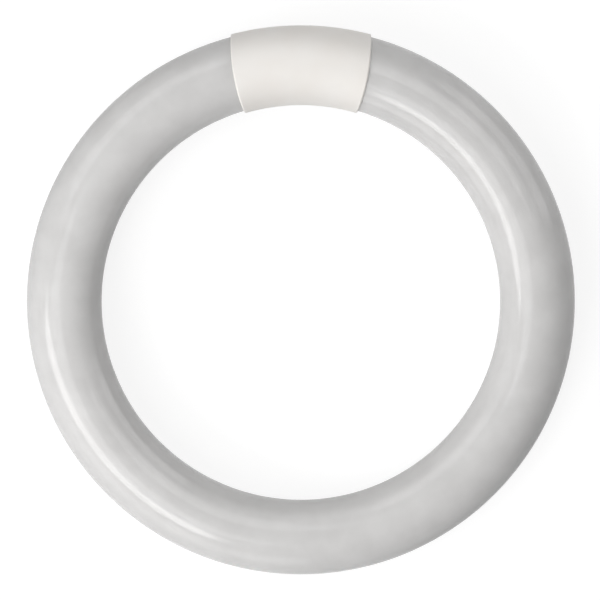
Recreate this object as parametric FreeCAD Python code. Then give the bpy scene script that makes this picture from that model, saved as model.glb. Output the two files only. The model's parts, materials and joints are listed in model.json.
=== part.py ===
import FreeCAD, Part
import math
import os

# A circular fluorescent lamp: a ring of glass tube whose two ends meet in a moulded base with contact pins.
# Sizes are in millimetres and angles in degrees.
# The ring lies in the XY plane round the Z axis, with its front towards +Z.
# The base is at +Y, and its pins point inwards and to the back.

# Glass ring
ring_outer_diameter = 209.55
tube_diameter = 28.6
glass_gap = 28.4  # between the two ends of the glass, along the tube's centre line
rim_rounding = 2.0  # where each end of the tube turns in to its flare

# Glass stem that closes each end: a flare that reaches back into the tube, and a sealed stub of pumping tube
flare_mouth_diameter = 21.6
flare_neck_diameter = 10.0
flare_neck_length = 5.0
flare_depth = 13.0
pumping_tube_diameter = 3.6
pumping_tube_length = 5.0

# Base, in two half shells that part in the plane of the ring
base_length = 51.8  # along the tube's centre line
socket_wall = 0.85  # round the glass
socket_clearance = 0.1  # between the glass and the base
middle_wall = 1.6  # between the glass ends
mouth_slant = 6.0  # of each mouth from square to the tube, which leaves the base short on its outer side
mouth_curve_radius = 79.0  # of the mouths' bulging edges, seen from the front
mouth_rounding = 0.7  # outer edge of the base's two mouths
parting_groove = 0.3  # depth of the V-groove along the parting line, and half its width
stop_rib_thickness = 1.2
stop_rib_height = 2.5  # above the middle wall
stop_clearance = 0.2  # between a glass end and its stop rib

# Lap lip of the front shell, which reaches into the back shell and carries the snap hooks
lap_thickness = 1.0
lap_reach = 2.6  # past the parting plane
lap_root = 3.0  # where it grows out of the front shell's wall
lap_clearance = 0.1
lap_end_clearance = 0.3  # between the lip's ends and the back shell's stop ribs
hook_height = 0.5
hook_width = 5.0
hook_spacing = 13.0  # between the middles of the two hooks of one side, along the centre line
hook_drop = 0.9  # from the parting plane to the hook's catching face
hook_clearance = 0.15

# Wall across the back shell, which keeps the leads of the two glass ends apart
barrier_thickness = 1.0
barrier_clearance = 0.4  # below the lap lip

# Flat pad for the contact pins
pad_tilt = 50.0  # of the pins, from the plane of the ring towards the back
pad_drop = 1.65  # by which the pad's face lies below the round of the base
pad_length = 21.0
pad_plate_thickness = 2.5
pad_plate_margin = 2.6  # beyond the pins' flanges, across the pad
pad_end_wall = 1.0  # which closes each end of the pad's recess, from the plate up to the outer skin
pad_clearance = 0.3  # between the pad's plate and the lap lip

# Contact pins, hollow, with the leads soldered in their tips
pin_diameter = 2.35
pin_length = 6.8  # outside the pad
pin_spacing_along = 7.92
pin_spacing_across = 6.35
pin_tip_rounding = 0.8
pin_bore_diameter = 1.4
pin_tip_thickness = 2.0
pin_flange_diameter = 3.8
pin_flange_thickness = 0.8
pin_root_diameter = 2.9  # the thicker stretch inside the pad
pin_hole_clearance = 0.02

# Leads from the stems to the pins, and their insulating sleeves
lead_diameter = 0.6
lead_spacing = 7.0  # between the two leads of one stem
lead_seal_depth = 2.0  # into the glass of the stem
lead_bend_radius = 6.0
lead_tip_setback = 0.6  # from the pin's tip to the end of the lead
sleeve_bore_diameter = 0.8
sleeve_outer_diameter = 1.5
sleeve_stem_gap = 1.0
sleeve_pin_gap = 0.3

# Sizes that follow
tube_radius = tube_diameter / 2
ring_radius = ring_outer_diameter / 2 - tube_radius
socket_radius = tube_radius + socket_clearance
base_radius = socket_radius + socket_wall
middle_radius = base_radius - middle_wall
lap_inner_radius = middle_radius - lap_clearance - lap_thickness
pad_distance = base_radius - pad_drop  # from the tube's centre line
pad_plate_width = pin_spacing_across + pin_flange_diameter + 2 * pad_plate_margin
overlap = 0.2  # by which a feature reaches into the wall that carries it
beyond = 5.0  # by which a cut runs past what it cuts
tolerance = 0.01  # within which an edge counts as lying at a place

CENTRE = FreeCAD.Vector(0, 0, 0)
ALONG = FreeCAD.Vector(1, 0, 0)
UP = FreeCAD.Vector(0, 0, 1)
BASE_MIDDLE = FreeCAD.Vector(0, ring_radius, 0)
PAD_FRAME = FreeCAD.Placement(BASE_MIDDLE, FreeCAD.Rotation(ALONG, 90 + pad_tilt))


def arc_angle(length):
    """The angle round the ring that a length of the tube's centre line spans."""
    return math.degrees(length / ring_radius)


glass_end_angle = arc_angle(glass_gap / 2)
base_end_angle = arc_angle(base_length / 2)
stop_angle = arc_angle(glass_gap / 2 - stop_clearance)
rib_angle = arc_angle(glass_gap / 2 - stop_clearance - stop_rib_thickness)


def section_point(radius, angle):
    """A point of the cross-section at the base's middle; angle 0 faces outwards and 90 faces the front."""
    turn = math.radians(angle)
    return BASE_MIDDLE + FreeCAD.Vector(0, radius * math.cos(turn), radius * math.sin(turn))


def swept(face, first_angle, last_angle):
    """A face of the middle cross-section, swept round the ring from one angle to the other."""
    turned = face.copy()
    turned.rotate(CENTRE, UP, first_angle)
    return turned.revolve(CENTRE, UP, last_angle - first_angle)


def disc(radius):
    """The full round face of one radius in the middle cross-section."""
    return Part.Face(Part.Wire(Part.makeCircle(radius, BASE_MIDDLE, ALONG)))


def wall_section(inner_radius, outer_radius, first, last):
    """A curved strip of wall in the middle cross-section, between two section angles."""
    middle = (first + last) / 2
    outer = [section_point(outer_radius, angle) for angle in (first, middle, last)]
    inner = [section_point(inner_radius, angle) for angle in (last, middle, first)]
    edges = [
        Part.Arc(*outer).toShape(),
        Part.LineSegment(outer[2], inner[0]).toShape(),
        Part.Arc(*inner).toShape(),
        Part.LineSegment(inner[2], outer[0]).toShape(),
    ]
    return Part.Face(Part.Wire(edges))


def mirrored(shape):
    """The same shape on the other side of the base's middle plane."""
    return shape.mirror(CENTRE, ALONG)


def end_circles(shape, radius):
    """The round edges of one radius, such as those at the two ends of a swept solid."""
    circles = [edge for edge in shape.Edges if isinstance(edge.Curve, Part.Circle)]
    return [edge for edge in circles if abs(edge.Curve.Radius - radius) < tolerance]


def bent_path(first, corner, last, radius):
    """Two straight runs joined by an arc that is tangent to both."""
    to_first = (first - corner).normalize()
    to_last = (last - corner).normalize()
    half = to_first.getAngle(to_last) / 2
    inwards = (to_first + to_last).normalize()
    arc_start = corner + to_first * (radius / math.tan(half))
    arc_end = corner + to_last * (radius / math.tan(half))
    arc_middle = corner + inwards * (radius / math.sin(half) - radius)
    edges = [
        Part.LineSegment(first, arc_start).toShape(),
        Part.Arc(arc_start, arc_middle, arc_end).toShape(),
        Part.LineSegment(arc_end, last).toShape(),
    ]
    return Part.Wire(edges)


def round_bar(path, diameter):
    """A round bar along a path."""
    run = path.Edges[0]
    profile = Part.makeCircle(diameter / 2, run.valueAt(0), run.tangentAt(0))
    return path.makePipeShell([Part.Wire(profile)], True, True)


def flare_hollow():
    """The trumpet-shaped hollow of one stem, cut along +X into an end at the middle of the base."""
    mouth = flare_mouth_diameter / 2
    neck = flare_neck_diameter / 2
    trumpet_length = flare_depth - flare_neck_length
    rise = mouth - neck
    bend = (trumpet_length**2 + rise**2) / (2 * rise)
    half_turn = math.atan2(trumpet_length, bend - rise) / 2
    halfway = FreeCAD.Vector(bend * math.sin(half_turn), bend * math.cos(half_turn), 0)
    mouth_edge = BASE_MIDDLE + FreeCAD.Vector(0, mouth, 0)
    neck_start = BASE_MIDDLE + FreeCAD.Vector(trumpet_length, neck, 0)
    trumpet_middle = neck_start + FreeCAD.Vector(-halfway.x, bend - halfway.y, 0)
    floor_edge = BASE_MIDDLE + FreeCAD.Vector(flare_depth, neck, 0)
    floor_middle = BASE_MIDDLE + FreeCAD.Vector(flare_depth, 0, 0)
    edges = [
        Part.LineSegment(BASE_MIDDLE, mouth_edge).toShape(),
        Part.Arc(mouth_edge, trumpet_middle, neck_start).toShape(),
        Part.LineSegment(neck_start, floor_edge).toShape(),
        Part.LineSegment(floor_edge, floor_middle).toShape(),
        Part.LineSegment(floor_middle, BASE_MIDDLE).toShape(),
    ]
    return Part.Face(Part.Wire(edges)).revolve(BASE_MIDDLE, ALONG, 360)


def pumping_tube():
    """The stub of glass tube in the middle of the flare's floor, its round tip sealed off."""
    radius = pumping_tube_diameter / 2
    root = BASE_MIDDLE + ALONG * (flare_depth + overlap)
    barrel = Part.makeCylinder(radius, pumping_tube_length + overlap - radius, root, -ALONG)
    tip = Part.makeSphere(radius, BASE_MIDDLE + ALONG * (flare_depth - pumping_tube_length + radius))
    return barrel.fuse(tip)


def lead_route(side):
    """The first point, corner and last point of a lead on the +X half; side is 1 or -1 across the pad."""
    across = FreeCAD.Vector(0, side * lead_spacing / 2, 0)
    sealed_end = PAD_FRAME.multVec(across + ALONG * (flare_depth + lead_seal_depth))
    sealed_end = FreeCAD.Rotation(UP, -glass_end_angle).multVec(sealed_end)
    pin_axis = FreeCAD.Vector(pin_spacing_along / 2, side * pin_spacing_across / 2, 0)
    tip = pin_axis + UP * (pad_distance + pin_length - lead_tip_setback)
    return sealed_end, PAD_FRAME.multVec(pin_axis), PAD_FRAME.multVec(tip)


def lead_wire(side):
    """A bare lead, from its seal in the stem to its soldered end in the pin's tip."""
    return round_bar(bent_path(*lead_route(side), lead_bend_radius), lead_diameter)


def lead_sleeve(side):
    """The sleeve on a lead, from just off the stem to just above the pin's flange."""
    sealed_end, corner, tip = lead_route(side)
    out_of_stem = (corner - sealed_end).normalize()
    into_pin = (tip - corner).normalize()
    first = sealed_end + out_of_stem * (lead_seal_depth + sleeve_stem_gap)
    flange_top = pad_distance - pad_plate_thickness - pin_flange_thickness
    last = corner + into_pin * (flange_top - sleeve_pin_gap)
    path = bent_path(first, corner, last, lead_bend_radius)
    return round_bar(path, sleeve_outer_diameter).cut(round_bar(path, sleeve_bore_diameter))


def glass_end_tools():
    """What shapes the +X end of the glass: the hollow of the flare with its pumping tube left standing."""
    hollow = flare_hollow().cut(pumping_tube())
    hollow.rotate(CENTRE, UP, -glass_end_angle)
    return [hollow, lead_wire(1), lead_wire(-1)]


def glass_tube():
    """The ring of glass, a sealed bulb, closed at each end by a stem with two leads sealed in it."""
    ring = swept(disc(tube_radius), glass_end_angle, 360 - glass_end_angle)
    ring = ring.makeFillet(rim_rounding, end_circles(ring, tube_radius))
    tools = glass_end_tools()
    return ring.cut(tools + [mirrored(tool) for tool in tools])


def mouth_cylinder():
    """The upright cylinder whose round side cuts the base to length at its +X mouth."""
    crossing = FreeCAD.Rotation(UP, -base_end_angle).multVec(BASE_MIDDLE)
    outwards = FreeCAD.Rotation(UP, mouth_slant - base_end_angle).multVec(ALONG)
    height = 2 * (base_radius + beyond)
    foot = crossing - outwards * mouth_curve_radius - UP * (height / 2)
    cylinder = Part.makeCylinder(mouth_curve_radius, height, foot)
    cylinder.rotate(foot, UP, 180)
    return cylinder


def base_sleeve():
    """The whole outer skin of the base, with both of its mouths cut to their curve and rounded."""
    reach = base_end_angle + arc_angle(beyond)
    mouth = mouth_cylinder()
    sleeve = swept(disc(base_radius), -reach, reach).common(mouth).common(mirrored(mouth))
    mouths = [face for face in sleeve.Faces if isinstance(face.Surface, Part.Cylinder)]
    return sleeve.makeFillet(mouth_rounding, [edge for face in mouths for edge in face.Edges])


def block_between(bottom, top):
    """A block wider than the whole lamp, from one height to another."""
    size = 2 * (ring_radius + base_radius + beyond)
    return Part.makeBox(size, size, top - bottom, FreeCAD.Vector(-size / 2, -size / 2, bottom))


def parting_grooves():
    """The V-grooves along the parting line, on the outer and the inner side of the base."""
    reach = base_end_angle + arc_angle(beyond)
    corners = [FreeCAD.Vector(0, -1, 0), UP, FreeCAD.Vector(0, 1, 0), -UP, FreeCAD.Vector(0, -1, 0)]
    grooves = []
    for turn in (0, 180):
        crest = section_point(base_radius, turn)
        section = Part.Face(Part.makePolygon([crest + corner * parting_groove for corner in corners]))
        grooves.append(swept(section, -reach, reach))
    return grooves


def half_shell(front):
    """One half of the base: sockets for the glass, a thicker middle, and ribs that stop the glass ends."""
    first, last = (0, 180) if front else (180, 360)
    half = block_between(0, base_radius + beyond) if front else block_between(-base_radius - beyond, 0)
    rib_section = wall_section(middle_radius - stop_rib_height, middle_radius + overlap, first, last)
    rib = swept(rib_section, rib_angle, stop_angle)
    socket = swept(disc(socket_radius), stop_angle, base_end_angle + arc_angle(beyond))
    hollow = swept(disc(middle_radius), -stop_angle - arc_angle(overlap), stop_angle + arc_angle(overlap))
    shell = base_sleeve().common(half).cut([socket, mirrored(socket), hollow] + parting_grooves())
    return shell.fuse([rib, mirrored(rib)])


def outer_and_inner(build):
    """A feature on the outer side of the base, and the same one with its section angles mirrored inwards."""
    return [build(lambda angle: angle), build(lambda angle: 180 - angle)]


def section_angle(length, radius):
    """The section angle that a height above the parting plane spans at one radius."""
    return math.degrees(math.asin(length / radius))


def lap_lip(turn):
    """The lip inside the front shell's edge, from its root on the wall to past the parting plane."""
    lip_radius = middle_radius - lap_clearance
    root_angle = section_angle(lap_root, middle_radius)
    reach_angle = section_angle(lap_reach, lip_radius)
    half_span = rib_angle - arc_angle(lap_end_clearance)
    low = wall_section(lap_inner_radius, lip_radius, turn(-reach_angle), turn(0))
    high = wall_section(lap_inner_radius, middle_radius + overlap, turn(0), turn(root_angle))
    return swept(low, -half_span, half_span).fuse(swept(high, -half_span, half_span))


def hook_section(turn, margin):
    """The hook's wedge in the cross-section: a flat catching face and a slope down to the lip's edge."""
    lip_radius = middle_radius - lap_clearance
    catch_angle = -section_angle(hook_drop - margin, lip_radius)
    edge_angle = -section_angle(lap_reach + margin, lip_radius)
    crest = lip_radius + hook_height + margin
    points = [
        section_point(lip_radius - overlap, turn(catch_angle)),
        section_point(crest, turn(catch_angle)),
        section_point(lip_radius + margin, turn(edge_angle)),
        section_point(lip_radius - overlap, turn(edge_angle)),
    ]
    return Part.Face(Part.makePolygon(points + points[:1]))


def hooks(margin):
    """The snap hooks of both sides, or their pockets when a margin is given."""
    shapes = []
    for section in outer_and_inner(lambda turn: hook_section(turn, margin)):
        for middle in (-hook_spacing / 2, hook_spacing / 2):
            first = arc_angle(middle - hook_width / 2 - margin)
            last = arc_angle(middle + hook_width / 2 + margin)
            shapes.append(swept(section, first, last))
    return shapes


def pad_block(length, width, bottom, top):
    """A block in the pad's frame, whose height runs outwards from the tube's centre line."""
    block = Part.makeBox(length, width, top - bottom, FreeCAD.Vector(-length / 2, -width / 2, bottom))
    block.Placement = PAD_FRAME.multiply(block.Placement)
    return block


def pad_plate(margin):
    """The plate that carries the pins with its end walls, up past the skin, or the room that they need."""
    length = pad_length + 2 * (pad_end_wall + margin)
    bottom = pad_distance - pad_plate_thickness - margin
    return pad_block(length, pad_plate_width + 2 * margin, bottom, base_radius + beyond)


def base_front_shell():
    """The front half of the base, with the lap lip, which is relieved round the pad, and its snap hooks."""
    lips = outer_and_inner(lap_lip)
    inside = lips[0].fuse(lips[1:] + hooks(0)).cut(pad_plate(pad_clearance))
    return half_shell(True).fuse(inside).removeSplitter()


def on_pad(shape, place):
    """A shape made upright at the origin, moved to a place in the pad's frame."""
    shape.Placement = PAD_FRAME.multiply(FreeCAD.Placement(place, FreeCAD.Rotation()))
    return shape


def pin_places():
    """The places of the pins in the pad's frame, in the order of their numbers."""
    places = [(x, y) for x in (-1, 1) for y in (1, -1)]
    return [FreeCAD.Vector(x * pin_spacing_along / 2, y * pin_spacing_across / 2, 0) for x, y in places]


def pin_hole(place):
    """The hole in the pad for one pin."""
    bottom = pad_distance - pad_plate_thickness - beyond
    depth = pad_plate_thickness + 2 * beyond
    return on_pad(Part.makeCylinder(pin_root_diameter / 2 + pin_hole_clearance, depth, UP * bottom), place)


def lead_barrier():
    """The wall between the leads of the two glass ends, up to just below the lap lip."""
    half_angle = arc_angle(barrier_thickness / 2)
    slice_of_tube = swept(disc(middle_radius + overlap), -half_angle, half_angle)
    return slice_of_tube.common(block_between(-base_radius, -lap_reach - barrier_clearance))


def base_back_shell():
    """The back half of the base, with the pin pad, the lead barrier and the pockets for the snap hooks."""
    flat = pad_block(pad_length, 2 * base_radius, pad_distance, base_radius + beyond)
    holes = [pin_hole(place) for place in pin_places()]
    plate = pad_plate(0).common(base_sleeve())
    solid = half_shell(False).fuse([plate, lead_barrier()])
    return solid.cut([flat] + hooks(hook_clearance) + holes).removeSplitter()


def contact_pin(place):
    """A hollow pin: a flange and a root in the base, and a barrel whose round tip holds the lead's end."""
    flange_bottom = pad_distance - pad_plate_thickness - pin_flange_thickness
    flange_top = pad_distance - pad_plate_thickness
    tip = pad_distance + pin_length
    steps = [
        (pin_flange_diameter / 2, flange_bottom, flange_top),
        (pin_root_diameter / 2, flange_top, pad_distance),
        (pin_diameter / 2, pad_distance, tip),
    ]
    outline = [FreeCAD.Vector(0, 0, flange_bottom)]
    for radius, bottom, top in steps:
        outline += [FreeCAD.Vector(radius, 0, bottom), FreeCAD.Vector(radius, 0, top)]
    outline += [FreeCAD.Vector(0, 0, tip), outline[0]]
    pin = Part.Face(Part.makePolygon(outline)).revolve(CENTRE, UP, 360)
    barrel_edges = end_circles(pin, pin_diameter / 2)
    tip_edges = [edge for edge in barrel_edges if edge.Curve.Center.z > tip - tolerance]
    pin = pin.makeFillet(pin_tip_rounding, tip_edges)
    bore = Part.makeCylinder(pin_bore_diameter / 2, tip - pin_tip_thickness - flange_bottom, outline[0])
    lead_hole = Part.makeCylinder(lead_diameter / 2, tip - lead_tip_setback - flange_bottom, outline[0])
    return on_pad(pin.cut([bore, lead_hole]), place)


def lead_parts(build):
    """One wire or sleeve for each pin, in the order of the pins' numbers."""
    upper, lower = build(1), build(-1)
    return [mirrored(upper), mirrored(lower), upper, lower]


def build_all():
    """Every piece of the lamp by name."""
    pieces = {
        "glass_tube": glass_tube(),
        "base_front_shell": base_front_shell(),
        "base_back_shell": base_back_shell(),
    }
    wires = lead_parts(lead_wire)
    sleeves = lead_parts(lead_sleeve)
    for number, (place, wire, sleeve) in enumerate(zip(pin_places(), wires, sleeves), start=1):
        pieces[f"contact_pin_{number}"] = contact_pin(place)
        pieces[f"lead_wire_{number}"] = wire
        pieces[f"lead_sleeve_{number}"] = sleeve
    return pieces


os.makedirs("parts", exist_ok=True)
for name, shape in build_all().items():
    shape.exportStep(f"parts/{name}.step")
    print(f"{name}: {len(shape.Solids)} solid, {shape.Volume:.2f} mm3")
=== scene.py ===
# %% [markdown]
# # A circular fluorescent tube, dressed in Blender
# The construction is already there as a fixed frame of solids. This lesson gives each piece its looks: the
# coated glass ring, the moulded base that closes it, and the pins, leads and sleeves inside and behind it.
# Every length is in metres, and every piece lies where the frame says.

# %% Load the frame
import json
import math

import bmesh
import bpy
from mathutils import Matrix, Vector


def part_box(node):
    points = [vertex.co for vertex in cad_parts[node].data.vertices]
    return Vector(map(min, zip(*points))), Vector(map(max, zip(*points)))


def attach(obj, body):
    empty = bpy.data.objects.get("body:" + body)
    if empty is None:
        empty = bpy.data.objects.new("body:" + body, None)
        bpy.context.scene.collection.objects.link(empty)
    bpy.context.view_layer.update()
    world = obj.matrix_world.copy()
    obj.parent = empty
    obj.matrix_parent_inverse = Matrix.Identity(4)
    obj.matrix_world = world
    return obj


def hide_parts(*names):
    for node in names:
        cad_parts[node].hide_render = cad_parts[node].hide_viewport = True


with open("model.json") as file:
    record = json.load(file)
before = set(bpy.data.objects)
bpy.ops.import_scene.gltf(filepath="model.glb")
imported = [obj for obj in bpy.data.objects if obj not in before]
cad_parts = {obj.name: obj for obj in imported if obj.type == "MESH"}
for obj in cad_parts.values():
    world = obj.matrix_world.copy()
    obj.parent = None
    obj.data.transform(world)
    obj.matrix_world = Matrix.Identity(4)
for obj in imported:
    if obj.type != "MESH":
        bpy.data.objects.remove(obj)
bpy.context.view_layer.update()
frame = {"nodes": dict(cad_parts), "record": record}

# %% [markdown]
# ## Sizes
# The big sizes are read from the frame, so that the new pieces follow it. Small ones, such as those of the
# glass stems that the base hides, are real sizes of such a lamp. They come in millimetres where they are
# first needed.

# %% Sizes read from the frame
MM = 0.001

glass_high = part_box("glass_tube")[1]
tube_radius = glass_high.z
ring_radius = glass_high.x - tube_radius
base_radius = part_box("base_front_shell")[1].z
pin_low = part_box("contact_pin_2")[0]
print(f"tube {tube_radius / MM:.2f}, ring {ring_radius / MM:.2f}, base {base_radius / MM:.2f} mm in radius")

# %% [markdown]
# ## Camera
# The photograph looks straight at the front of the ring, from a little beyond the base, so that the pins
# hide behind it. A long lens keeps the tube equally thick all round. The distance follows from the ring's
# outer silhouette: a ray that touches the tube there leaves the axis at a known angle.

# %% Make the camera
PHOTO_HALF = 300.0  # half the photograph's side, in its pixels
RING_SILHOUETTE = 274.0  # outer radius of the ring there
RING_CENTRE = (300.9, 301.6)  # its middle there, counted from the upper left corner
LENS = 600.0  # focal length, in millimetres as the camera wants it
SENSOR = 36.0  # width of the film, in millimetres too
CAMERA_TILT = math.radians(4.5)  # from straight above the ring towards the base

half_tangent = SENSOR / 2 / LENS
edge_angle = math.atan(RING_SILHOUETTE / PHOTO_HALF * half_tangent)
camera_distance = (ring_radius * math.cos(edge_angle) + tube_radius) / math.sin(edge_angle)
pixel = camera_distance * half_tangent / PHOTO_HALF

back = Vector((0, math.sin(CAMERA_TILT), math.cos(CAMERA_TILT)))
up = Vector((0, math.cos(CAMERA_TILT), -math.sin(CAMERA_TILT)))
right = up.cross(back)
aim = right * (PHOTO_HALF - RING_CENTRE[0]) * pixel - up * (PHOTO_HALF - RING_CENTRE[1]) * pixel

camera_data = bpy.data.cameras.new("camera")
camera_data.lens = LENS
camera_data.sensor_width = SENSOR
camera = bpy.data.objects.new("camera", camera_data)
camera_axes = Matrix((right, up, back)).transposed().to_4x4()
camera.matrix_world = Matrix.Translation(aim + back * camera_distance) @ camera_axes
bpy.context.scene.collection.objects.link(camera)
bpy.context.scene.camera = camera
print(f"camera {camera_distance:.3f} m away, one pixel is {pixel / MM:.3f} mm at the ring")

# %% [markdown]
# ## Helpers for modelling
# Modelling by hand is a run of small steps: pick some faces, then extrude, inset or scale them. Here the
# faces are picked by where they are and where they look.


# %% Helpers for modelling
def add_primitive(name, operator, **sizes):
    """Adds one primitive with nothing else selected, and opens it in edit mode with faces to pick."""
    bpy.ops.object.select_all(action="DESELECT")
    operator(**sizes)
    piece = bpy.context.object
    piece.name = name
    bpy.ops.object.mode_set(mode="EDIT")
    bpy.ops.mesh.select_mode(type="FACE")
    return piece


def pick_faces(piece, test):
    """Selects just the faces whose middle and normal pass the test."""
    mesh = bmesh.from_edit_mesh(piece.data)
    for face in mesh.faces:
        face.select_set(test(face.calc_center_median(), face.normal))
    mesh.select_flush_mode()
    bmesh.update_edit_mesh(piece.data)


def leave_edit_mode(piece, crease_angle):
    """Ends the modelling of a piece: smooth shading, with edges sharper than the angle kept crisp."""
    bpy.ops.object.mode_set(mode="OBJECT")
    bpy.ops.object.shade_smooth_by_angle(angle=crease_angle)
    print(f"{piece.name}: {len(piece.data.polygons)} faces")


# %% [markdown]
# ## The glass ring
# The real ring is one straight tube of soda-lime glass, coated inside, then heated and bent round a drum.
# Each end is closed by a stem: a little trumpet of glass that reaches back into the tube, with the stub of
# the pumping tube in its middle. A torus is the natural start. The gap for the base is cut out of it by two
# planes, and then each cut end is shaped as the glassmaker does it: rounded at the rim, drawn inwards to
# the neck, and pumped and sealed.

# %% Cut the ring
RING_STEPS = 360
TUBE_STEPS = 72
GLASS_GAP = 28.4 * MM  # between the two ends, along the tube's centre line

glass = add_primitive(
    "glass_ring",
    bpy.ops.mesh.primitive_torus_add,
    major_radius=ring_radius,
    minor_radius=tube_radius,
    major_segments=RING_STEPS,
    minor_segments=TUBE_STEPS,
)
gap_angle = GLASS_GAP / 2 / ring_radius


def glass_end(side):
    """The middle of one glass end, and the direction that it faces, across the gap."""
    outwards = Vector((side * math.sin(gap_angle), math.cos(gap_angle), 0))
    across = Vector((-side * math.cos(gap_angle), math.sin(gap_angle), 0))
    return outwards * ring_radius, across


for side in (1, -1):
    middle, across = glass_end(side)
    pick_faces(glass, lambda place, normal: place.y > 0 and 0 < side * place.x < ring_radius / 2)
    bpy.ops.mesh.bisect(plane_co=middle, plane_no=across, use_fill=True, clear_outer=True)
print(f"ring cut open by {GLASS_GAP / MM:.1f} mm: {len(bmesh.from_edit_mesh(glass.data).faces)} faces")

# %% Shape the two stems
RIM_ROUNDING = 2.0 * MM
RIM_STEPS = 5
FLARE_MOUTH = 10.8 * MM  # radius
FLARE_NECK = 5.0 * MM  # radius
TRUMPET_LENGTH = 8.0 * MM
NECK_LENGTH = 5.0 * MM
TRUMPET_STEPS = 8
PUMPING_TUBE = 1.8 * MM  # radius
PUMPING_TUBE_LENGTH = 5.0 * MM
TIP_STEPS = 4
SAME_WAY = 0.999  # least cosine between two directions that count as one
GLASS_CREASE = math.radians(35)


def draw_end(across, middle, profile):
    """Extrudes the picked end face through a profile of (depth, radius) points, measured into the tube."""
    depth, radius = profile[0]
    for next_depth, next_radius in profile[1:]:
        bpy.ops.mesh.extrude_region_move(TRANSFORM_OT_translate={"value": across * (depth - next_depth)})
        scale = next_radius / radius
        bpy.ops.transform.resize(value=(scale,) * 3, center_override=middle - across * next_depth)
        depth, radius = next_depth, next_radius


flare_rise = FLARE_MOUTH - FLARE_NECK
flare_bend = (TRUMPET_LENGTH**2 + flare_rise**2) / (2 * flare_rise)
flare_turn = math.asin(TRUMPET_LENGTH / flare_bend)
flare_angles = [flare_turn * (1 - step / TRUMPET_STEPS) for step in range(TRUMPET_STEPS + 1)]
trumpet = [
    (TRUMPET_LENGTH - flare_bend * math.sin(angle), FLARE_NECK + flare_bend * (1 - math.cos(angle)))
    for angle in flare_angles
]
floor_depth = TRUMPET_LENGTH + NECK_LENGTH
tip_base = floor_depth - PUMPING_TUBE_LENGTH + PUMPING_TUBE
tip_angles = [math.radians(90) * step / TIP_STEPS for step in range(TIP_STEPS)]
stub = [(floor_depth, PUMPING_TUBE)] + [
    (tip_base - PUMPING_TUBE * math.sin(angle), PUMPING_TUBE * math.cos(angle)) for angle in tip_angles
]

for side in (1, -1):
    middle, across = glass_end(side)

    def at_end(place, normal):
        """Whether a face is the flat one that closes this end."""
        return (place - middle).length < tube_radius / 2 and normal.dot(across) > SAME_WAY

    pick_faces(glass, at_end)
    bpy.ops.mesh.bevel(offset=RIM_ROUNDING, segments=RIM_STEPS, affect="EDGES")
    pick_faces(glass, at_end)
    bpy.ops.mesh.inset(thickness=tube_radius - RIM_ROUNDING - FLARE_MOUTH)
    draw_end(across, middle, trumpet + [(floor_depth, FLARE_NECK)])
    bpy.ops.mesh.inset(thickness=FLARE_NECK - PUMPING_TUBE)
    draw_end(across, middle, stub)

leave_edit_mode(glass, GLASS_CREASE)
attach(glass, "root")
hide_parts("glass_tube")

# %% [markdown]
# ## Solder in the pin tips
# Each lead runs up inside its hollow pin and is soldered in the hole at the tip, where the solder stands up
# as a small round drop. The drop starts as a disc down in the hole. It is drawn up to the tip, spread a
# little over the hole's edge and closed in a dome. It is modelled once, upright at the origin, and a copy
# goes to each pin.

# %% Model one drop
PIN_ROUNDING = 0.8 * MM  # of the tip, where the straight part of the pin ends
SOLDER_RADIUS = 0.28 * MM  # down in the hole
SOLDER_DEPTH = 0.5 * MM
SOLDER_STEPS = 20
SOLDER_CREASE = math.radians(50)
UP = Vector((0, 0, 1))

drop = add_primitive(
    "solder_drop",
    bpy.ops.mesh.primitive_circle_add,
    vertices=SOLDER_STEPS,
    radius=SOLDER_RADIUS,
    fill_type="NGON",
    location=-UP * SOLDER_DEPTH,
)
bpy.ops.mesh.select_all(action="SELECT")
# points of the dome: millimetres above the pin's tip, and share of the solder's radius
dome = [(0, 1.0), (0, 1.2), (0.05, 1.2), (0.11, 1.0), (0.15, 0.7), (0.17, 0.3)]
outside = [(-height * MM, SOLDER_RADIUS * share) for height, share in dome]
draw_end(UP, Vector(), [(SOLDER_DEPTH, SOLDER_RADIUS)] + outside)
bpy.ops.mesh.select_all(action="SELECT")
bpy.ops.mesh.normals_make_consistent(inside=False)
leave_edit_mode(drop, SOLDER_CREASE)
bpy.ops.object.transform_apply(location=True, rotation=False, scale=False)

# %% Put a drop on each pin
pin_mounts = [mount for mount in frame["record"]["mounts"] if mount["name"].startswith("contact_pin")]
pin_axis = Vector(pin_mounts[0]["axis"])
pin_turn = pin_axis.to_track_quat("Z", "Y")
solder = []
for number, mount in enumerate(pin_mounts, start=1):
    piece = bpy.data.objects.new(f"solder_{number}", drop.data.copy())
    bpy.context.scene.collection.objects.link(piece)
    tip = Vector(mount["pos_m"]) + pin_axis * (mount["dims"]["length_mm"] / 2 * MM + PIN_ROUNDING)
    piece.matrix_world = Matrix.Translation(tip) @ pin_turn.to_matrix().to_4x4()
    bpy.ops.object.select_all(action="DESELECT")
    piece.select_set(True)
    bpy.context.view_layer.objects.active = piece
    bpy.ops.object.transform_apply(location=True, rotation=True, scale=True)
    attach(piece, "root")
    solder.append(piece)
bpy.data.objects.remove(drop)
print("solder on", [mount["name"] for mount in pin_mounts])

# %% [markdown]
# ## Helpers for materials
# A colour is written as the sRGB hex value that a painter would pick, and one function turns it into the
# linear light that Blender reckons with. One more function adds a shader node with its settings and links.


# %% Helpers for materials
def linear(hex_colour):
    """An sRGB hex colour as linear red, green, blue and alpha."""
    channels = [int(hex_colour[place : place + 2], 16) / 255 for place in (1, 3, 5)]
    return (*[c / 12.92 if c <= 0.04045 else ((c + 0.055) / 1.055) ** 2.4 for c in channels], 1.0)


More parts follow.
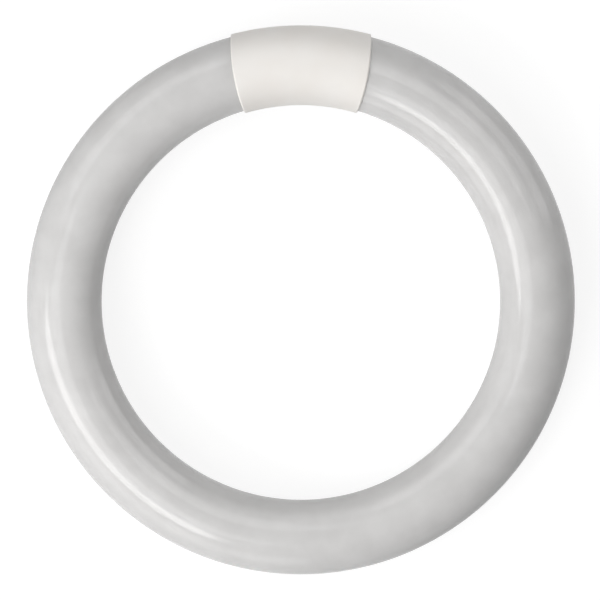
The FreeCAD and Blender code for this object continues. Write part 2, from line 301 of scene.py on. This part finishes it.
def add_node(tree, kind, inputs=None, **settings):
    """Adds a node. Its inputs are set by name or number, to a value or to another node's output."""
    node = tree.nodes.new(kind)
    for name, value in settings.items():
        setattr(node, name, value)
    for name, value in (inputs or {}).items():
        if isinstance(value, bpy.types.NodeSocket):
            tree.links.new(value, node.inputs[name])
        else:
            node.inputs[name].default_value = value
    return node


def new_material(name):
    """An empty node material, and its tree."""
    material = bpy.data.materials.new(name)
    material.use_nodes = True
    material.node_tree.nodes.clear()
    return material, material.node_tree


def dress(material, *pieces):
    """Gives pieces one material all over."""
    for piece in pieces:
        if not piece.material_slots:
            piece.data.materials.append(material)
        for slot in piece.material_slots:
            slot.material = material
    print(f"{material.name}: {[piece.name for piece in pieces]}")


# %% [markdown]
# ## Coated glass
# Clear soda-lime glass with a white phosphor powder on its inner side. The powder is a dead matt grey-white
# when the lamp is off. Light wanders a little way through it before it comes out, which subsurface
# scattering gives. The glass over it is fire-polished, so it adds a clear gloss, which a coat over the matt
# base gives. The powder was washed on as a slurry that ran down the tube, so its tone drifts a little over
# 12 mm or so.


# %% Coated glass
WASH_SIZE = 12 * MM
RIPPLE_SIZE = 18 * MM
RIPPLE_HEIGHT = 0.15 * MM
LIGHT_REACH = 10 * MM  # how far light wanders in the coat and the glass


def coated_glass():
    """Soda-lime tube, fire-polished outside and phosphor-coated inside."""
    material, tree = new_material("coated_glass_fire_polished")
    place = add_node(tree, "ShaderNodeTexCoord").outputs["Object"]
    wash = add_node(tree, "ShaderNodeTexNoise", {"Vector": place, "Scale": 1 / WASH_SIZE, "Detail": 3.0})
    tone = add_node(tree, "ShaderNodeValToRGB", {"Fac": wash.outputs["Fac"]})
    tone.color_ramp.elements[0].position = 0.35
    tone.color_ramp.elements[0].color = linear("#CFCECD")
    tone.color_ramp.elements[1].position = 0.65
    tone.color_ramp.elements[1].color = linear("#D5D4D3")
    ripple = add_node(
        tree, "ShaderNodeTexNoise", {"Vector": place, "Scale": 1 / RIPPLE_SIZE, "Detail": 1.0}
    )
    relief = add_node(
        tree,
        "ShaderNodeBump",
        {"Height": ripple.outputs["Fac"], "Strength": 0.25, "Distance": RIPPLE_HEIGHT},
    )
    surface = add_node(
        tree,
        "ShaderNodeBsdfPrincipled",
        {
            "Base Color": tone.outputs["Color"],
            "Roughness": 0.6,
            "IOR": 1.5,
            "Specular IOR Level": 0.0,
            "Subsurface Weight": 0.35,
            "Subsurface Radius": (1.0, 1.0, 1.0),
            "Subsurface Scale": LIGHT_REACH,
            "Normal": relief.outputs["Normal"],
            "Coat Weight": 0.6,
            "Coat Roughness": 0.16,
            "Coat IOR": 1.6,
            "Coat Normal": relief.outputs["Normal"],
        },
    )
    add_node(tree, "ShaderNodeOutputMaterial", {"Surface": surface.outputs[0]})
    return material


dress(coated_glass(), glass)

# %% [markdown]
# ## Moulded base
# White heat-resistant plastic, injection moulded: an even warm white with a soft satin gloss. The plastic's
# flow in the mould leaves a faint drift of tone, and the tool's fine surface a grain of 0.4 mm, which a
# bump gives.


# %% Moulded base
FLOW_SIZE = 15 * MM
GRAIN_SIZE = 0.4 * MM
GRAIN_HEIGHT = 0.02 * MM


def moulded_plastic():
    """Warm white thermoplastic, injection moulded with a fine satin surface."""
    material, tree = new_material("white_plastic_moulded")
    place = add_node(tree, "ShaderNodeTexCoord").outputs["Object"]
    flow = add_node(tree, "ShaderNodeTexNoise", {"Vector": place, "Scale": 1 / FLOW_SIZE, "Detail": 2.0})
    tone = add_node(tree, "ShaderNodeValToRGB", {"Fac": flow.outputs["Fac"]})
    tone.color_ramp.elements[0].position = 0.3
    tone.color_ramp.elements[0].color = linear("#F0ECE7")
    tone.color_ramp.elements[1].position = 0.7
    tone.color_ramp.elements[1].color = linear("#F3F0EC")
    grain = add_node(tree, "ShaderNodeTexNoise", {"Vector": place, "Scale": 1 / GRAIN_SIZE, "Detail": 2.0})
    relief = add_node(
        tree, "ShaderNodeBump", {"Height": grain.outputs["Fac"], "Strength": 0.2, "Distance": GRAIN_HEIGHT}
    )
    surface = add_node(
        tree,
        "ShaderNodeBsdfPrincipled",
        {
            "Base Color": tone.outputs["Color"],
            "Roughness": 0.42,
            "IOR": 1.49,
            "Specular IOR Level": 0.35,
            "Normal": relief.outputs["Normal"],
        },
    )
    add_node(tree, "ShaderNodeOutputMaterial", {"Surface": surface.outputs[0]})
    return material


nodes = frame["nodes"]
dress(moulded_plastic(), nodes["base_front_shell"], nodes["base_back_shell"])

# %% [markdown]
# ## Nickel-plated pins
# The pins are brass, deep drawn to hollow rivets and plated with bright nickel, which is a little warm
# beside chrome. Drawing leaves fine lines along the pin, which the plating softens. A noise that is
# stretched along the pin's own axis gives them. The real lines are about 0.05 mm apart, and are drawn twice
# as coarse, so that they show.


# %% Nickel-plated pins
NUMBERS = (1, 2, 3, 4)  # of the pins, and of the lead and the sleeve that go with each
LINE_SPACING = 0.1 * MM
LINE_LENGTH = 4 * MM
LINE_HEIGHT = 0.01 * MM
TARNISH_SIZE = 1.5 * MM


def nickel_plate():
    """Bright nickel on drawn brass, with fine lines along the pin."""
    material, tree = new_material("nickel_plated_brass_drawn")
    place = add_node(tree, "ShaderNodeTexCoord").outputs["Object"]
    along_pin = add_node(
        tree,
        "ShaderNodeMapping",
        {
            "Vector": place,
            "Rotation": pin_turn.to_euler(),
            "Scale": (LINE_SPACING, LINE_SPACING, LINE_LENGTH),
        },
        vector_type="TEXTURE",
    ).outputs["Vector"]
    drawing = add_node(tree, "ShaderNodeTexNoise", {"Vector": along_pin, "Scale": 1.0, "Detail": 2.0})
    lines = drawing.outputs["Fac"]
    tarnish = add_node(
        tree, "ShaderNodeTexNoise", {"Vector": place, "Scale": 1 / TARNISH_SIZE, "Detail": 3.0}
    )
    tone = add_node(tree, "ShaderNodeValToRGB", {"Fac": tarnish.outputs["Fac"]})
    tone.color_ramp.elements[0].position = 0.3
    tone.color_ramp.elements[0].color = linear("#C4BCAE")
    tone.color_ramp.elements[1].position = 0.7
    tone.color_ramp.elements[1].color = linear("#D6D0C5")
    polish = add_node(tree, "ShaderNodeMapRange", {"Value": lines, "To Min": 0.2, "To Max": 0.34})
    relief = add_node(tree, "ShaderNodeBump", {"Height": lines, "Strength": 0.3, "Distance": LINE_HEIGHT})
    surface = add_node(
        tree,
        "ShaderNodeBsdfPrincipled",
        {
            "Base Color": tone.outputs["Color"],
            "Metallic": 1.0,
            "Roughness": polish.outputs["Result"],
            "Normal": relief.outputs["Normal"],
        },
    )
    add_node(tree, "ShaderNodeOutputMaterial", {"Surface": surface.outputs[0]})
    return material


dress(nickel_plate(), *[nodes[f"contact_pin_{number}"] for number in NUMBERS])

# %% [markdown]
# ## Solder and lead wires
# Solder sets with a dull grey skin that is faintly frosted. The leads are nickel-iron wire with a copper
# skin that has gone brown in the gas flame which sealed them in the glass. They hide in the base, but they
# get their finish too. Both are dull metals with a mottled skin, so one function makes them, with colours
# and a grain size for each.


# %% Solder and lead wires
SOLDER_GRAIN = 0.25 * MM
FLAME_GRAIN = 0.4 * MM
FROST_HEIGHT = 0.02 * MM


def frosted_metal(name, dark, pale, grain, roughness):
    """A dull metal whose skin is mottled at one grain size."""
    material, tree = new_material(name)
    place = add_node(tree, "ShaderNodeTexCoord").outputs["Object"]
    frost = add_node(tree, "ShaderNodeTexNoise", {"Vector": place, "Scale": 1 / grain, "Detail": 3.0})
    mottle = frost.outputs["Fac"]
    tone = add_node(tree, "ShaderNodeValToRGB", {"Fac": mottle})
    tone.color_ramp.elements[0].position = 0.3
    tone.color_ramp.elements[0].color = linear(dark)
    tone.color_ramp.elements[1].position = 0.7
    tone.color_ramp.elements[1].color = linear(pale)
    relief = add_node(tree, "ShaderNodeBump", {"Height": mottle, "Strength": 0.4, "Distance": FROST_HEIGHT})
    surface = add_node(
        tree,
        "ShaderNodeBsdfPrincipled",
        {
            "Base Color": tone.outputs["Color"],
            "Metallic": 1.0,
            "Roughness": roughness,
            "Normal": relief.outputs["Normal"],
        },
    )
    add_node(tree, "ShaderNodeOutputMaterial", {"Surface": surface.outputs[0]})
    return material


dress(frosted_metal("tin_solder_set", "#A9ABAC", "#C6C8C9", SOLDER_GRAIN, roughness=0.38), *solder)
dress(
    frosted_metal("copper_clad_wire_flamed", "#7D5B48", "#A67F66", FLAME_GRAIN, roughness=0.42),
    *[nodes[f"lead_wire_{number}"] for number in NUMBERS],
)

# %% [markdown]
# ## Woven sleeves
# The sleeves are braided glass fibre, varnished so that the cut ends don't fray. Two sets of threads cross
# at a slant, about 0.5 mm apart. Two wave patterns on the two slants, of which the higher one shows, give
# the braid. A wave pattern repeats every pi / 10 over its scale.


# %% Woven sleeves
THREAD_SPACING = 0.5 * MM
THREAD_HEIGHT = 0.08 * MM
THREAD_SLANT = math.radians(40)


def braided_sleeve():
    """Varnished glass-fibre braid."""
    material, tree = new_material("glass_fibre_braid_varnished")
    place = add_node(tree, "ShaderNodeTexCoord").outputs["Object"]
    threads = []
    for slant in (THREAD_SLANT, -THREAD_SLANT):
        turned = add_node(tree, "ShaderNodeMapping", {"Vector": place, "Rotation": (slant, 0, slant)})
        waves = add_node(
            tree,
            "ShaderNodeTexWave",
            {
                "Vector": turned.outputs["Vector"],
                "Scale": math.pi / 10 / THREAD_SPACING,
                "Distortion": 0.6,
            },
        )
        threads.append(waves.outputs["Fac"])
    braid = add_node(tree, "ShaderNodeMath", {0: threads[0], 1: threads[1]}, operation="MAXIMUM").outputs[0]
    tone = add_node(tree, "ShaderNodeValToRGB", {"Fac": braid})
    tone.color_ramp.elements[0].color = linear("#B9AF98")
    tone.color_ramp.elements[1].color = linear("#EAE5D6")
    relief = add_node(tree, "ShaderNodeBump", {"Height": braid, "Strength": 0.6, "Distance": THREAD_HEIGHT})
    surface = add_node(
        tree,
        "ShaderNodeBsdfPrincipled",
        {
            "Base Color": tone.outputs["Color"],
            "Roughness": 0.55,
            "IOR": 1.5,
            "Normal": relief.outputs["Normal"],
        },
    )
    add_node(tree, "ShaderNodeOutputMaterial", {"Surface": surface.outputs[0]})
    return material


dress(braided_sleeve(), *[nodes[f"lead_sleeve_{number}"] for number in NUMBERS])

# %% [markdown]
# ## Floor and world
# The floor is pale, and white to the camera. It passes through what the lamp rests on: the tips of the two
# rear pins and the glass on the far side. Its own matt colour takes the lamp's shadow. The world is white
# behind it, for the camera and in reflections, and sheds only a little light of its own.

# %% Floor
FLOOR_SIDE = 6.0
TIP_REACH = 1.2 * MM  # from the box's edge of a slanting pin to where its tip touches the floor
FLOOR_GLOW = 0.82  # its brightness to the camera near the ring, before any light falls on it
GLOW_START, GLOW_END = 0.3, 1.6  # distances over which the glow grows to 1, as the lamps' light falls off

floor_front = Vector((0, -ring_radius, -tube_radius))
floor_back = Vector((0, pin_low.y + TIP_REACH, pin_low.z))
floor_slope = math.atan2(floor_back.z - floor_front.z, floor_back.y - floor_front.y)
bpy.ops.object.select_all(action="DESELECT")
bpy.ops.mesh.primitive_grid_add(
    x_subdivisions=2,
    y_subdivisions=2,
    size=FLOOR_SIDE,
    location=(floor_front + floor_back) / 2,
    rotation=(floor_slope, 0, 0),
)
floor = bpy.context.object
floor.name = "floor"


def seen_rays(tree):
    """1 where a ray comes from the camera, or from a reflection or a refraction, and 0 for plain light."""
    path = add_node(tree, "ShaderNodeLightPath")
    shiny = add_node(
        tree,
        "ShaderNodeMath",
        {0: path.outputs["Is Glossy Ray"], 1: path.outputs["Is Transmission Ray"]},
        operation="MAXIMUM",
    )
    return add_node(
        tree, "ShaderNodeMath", {0: path.outputs["Is Camera Ray"], 1: shiny.outputs[0]}, operation="MAXIMUM"
    ).outputs[0]


def matt_floor():
    """Pale matt paper that glows a little for the camera, so that it shows as white."""
    material, tree = new_material("floor_paper")
    paper = add_node(tree, "ShaderNodeBsdfDiffuse", {"Color": linear("#8F8F8F")})
    place = add_node(tree, "ShaderNodeTexCoord").outputs["Object"]
    reach = add_node(tree, "ShaderNodeVectorMath", {0: place}, operation="LENGTH").outputs["Value"]
    fill = add_node(
        tree,
        "ShaderNodeMapRange",
        {"Value": reach, "From Min": GLOW_START, "From Max": GLOW_END, "To Min": FLOOR_GLOW, "To Max": 1.0},
    ).outputs["Result"]
    glow_strength = add_node(tree, "ShaderNodeMath", {0: seen_rays(tree), 1: fill}, operation="MULTIPLY")
    glow = add_node(
        tree, "ShaderNodeEmission", {"Color": linear("#FFFFFF"), "Strength": glow_strength.outputs[0]}
    )
    lit = add_node(tree, "ShaderNodeAddShader", {0: paper.outputs[0], 1: glow.outputs[0]})
    below = add_node(tree, "ShaderNodeNewGeometry").outputs["Backfacing"]
    clear = add_node(tree, "ShaderNodeBsdfTransparent")
    surface = add_node(tree, "ShaderNodeMixShader", {0: below, 1: lit.outputs[0], 2: clear.outputs[0]})
    add_node(tree, "ShaderNodeOutputMaterial", {"Surface": surface.outputs[0]})
    return material


dress(matt_floor(), floor)

# %% World
WORLD_LEVEL = 0.05  # what the world sheds on the lamp, while the camera and the reflections see white

world = bpy.data.worlds.new("studio")
bpy.context.scene.world = world
world.use_nodes = True
world_tree = world.node_tree
world_tree.nodes.clear()
world_strength = add_node(
    world_tree,
    "ShaderNodeMapRange",
    {"Value": seen_rays(world_tree), "To Min": WORLD_LEVEL, "To Max": 1.0},
)
world_light = add_node(
    world_tree, "ShaderNodeBackground", {"Color": linear("#FFFFFF"), "Strength": world_strength.outputs[0]}
)
add_node(world_tree, "ShaderNodeOutputWorld", {"Surface": world_light.outputs[0]})
print(f"world: white to the camera, {WORLD_LEVEL} as light on the ring")

# %% [markdown]
# ## Studio lamps
# The photograph's streaks give its main lamp away: one long softbox at the lower left, which leans a
# little, because its reflection climbs along the tube. A broad one stands low beside it and lights the rim
# of the ring there. It is so broad that its own reflection stays soft. One high up near the lens fills the
# middle of the tube, and weak ones round the other sides keep the far edges from going dark.


# %% Studio lamps
LAMP_DISTANCE = 1.6  # from the ring's middle
FILL_LENGTH, FILL_WIDTH = 1.2, 0.8  # of the softboxes that only fill


def softbox(name, azimuth, elevation, length, width, power, lean=0):
    """A softbox that faces the ring: azimuth 0 is to its right, 90 beyond the base; lean turns it."""
    turn, rise, slant = (math.radians(angle) for angle in (azimuth, elevation, lean))
    facing = Vector((math.cos(turn) * math.cos(rise), math.sin(turn) * math.cos(rise), math.sin(rise)))
    level = Vector((-math.sin(turn), math.cos(turn), 0))
    along = level * math.cos(slant) + facing.cross(level) * math.sin(slant)
    data = bpy.data.lights.new(name, "AREA")
    data.shape = "RECTANGLE"
    data.size = length
    data.size_y = width
    data.energy = power
    lamp = bpy.data.objects.new(name, data)
    axes = Matrix((along, facing.cross(along), facing)).transposed().to_4x4()
    lamp.matrix_world = Matrix.Translation(facing * LAMP_DISTANCE) @ axes
    bpy.context.scene.collection.objects.link(lamp)


softbox("streak", azimuth=217, elevation=40, length=1.6, width=0.5, power=15.5, lean=17)
softbox("low_near", azimuth=242, elevation=9, length=1.8, width=1.0, power=7.0)
for name, azimuth, elevation, power in (
    ("high_near", 215, 62, 6.2),
    ("upper_left", 135, 32, 4.6),
    ("beyond_base", 90, 32, 2.0),
    ("high_upper_right", 60, 58, 5.6),
    ("low_right", 35, 12, 5.6),
):
    softbox(name, azimuth, elevation, FILL_LENGTH, FILL_WIDTH, power)

# %% [markdown]
# ## Colours
# Blender's usual view bends colours as film does. The Standard view shows each one as it is written, so
# that it can be set beside the photograph's.

# %% Colour management
view_settings = bpy.context.scene.view_settings
view_settings.view_transform = "Standard"
print("view:", view_settings.view_transform)
